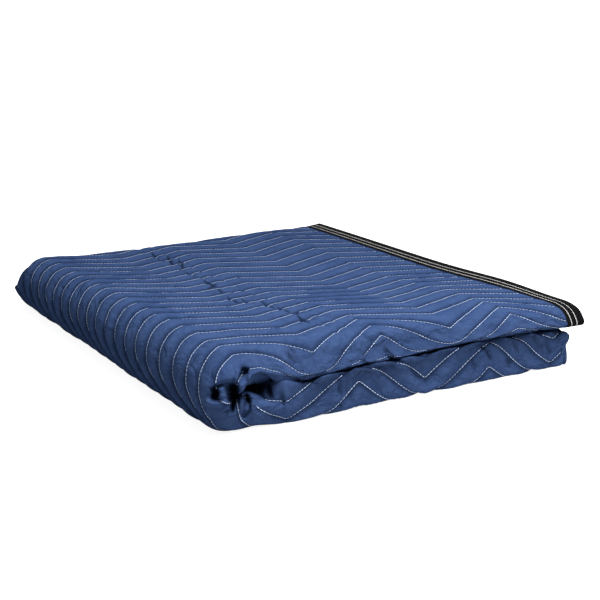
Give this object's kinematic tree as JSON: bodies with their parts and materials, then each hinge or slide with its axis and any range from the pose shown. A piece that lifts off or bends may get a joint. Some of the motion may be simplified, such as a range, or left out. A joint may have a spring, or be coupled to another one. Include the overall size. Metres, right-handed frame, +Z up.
{
  "type": "folded quilted moving blanket",
  "caption": "Quilted moving blanket with zigzag seams and taped edges, folded into a flat pad that rests on its underside.",
  "frame": {"origin": "centre of the folded pad's footprint, on the surface it lies on", "axes": "+Z up, +Y along the front fold's far side from front to back, +X from the last fold to the bound end"},
  "size_m": [0.496, 0.6416, 0.0783],
  "materials": {
    "quilted_cloth": "navy woven cloth, quilted, slight sheen",
    "woven_tape": "black ribbed webbing tape"
  },
  "bodies": {
    "root": {"quilted_sheet": "quilted_cloth", "end_tape_outer": "woven_tape", "end_tape_inner": "woven_tape", "side_tape_inner": "woven_tape", "side_tape_outer": "woven_tape"}
  },
  "joints": []
}
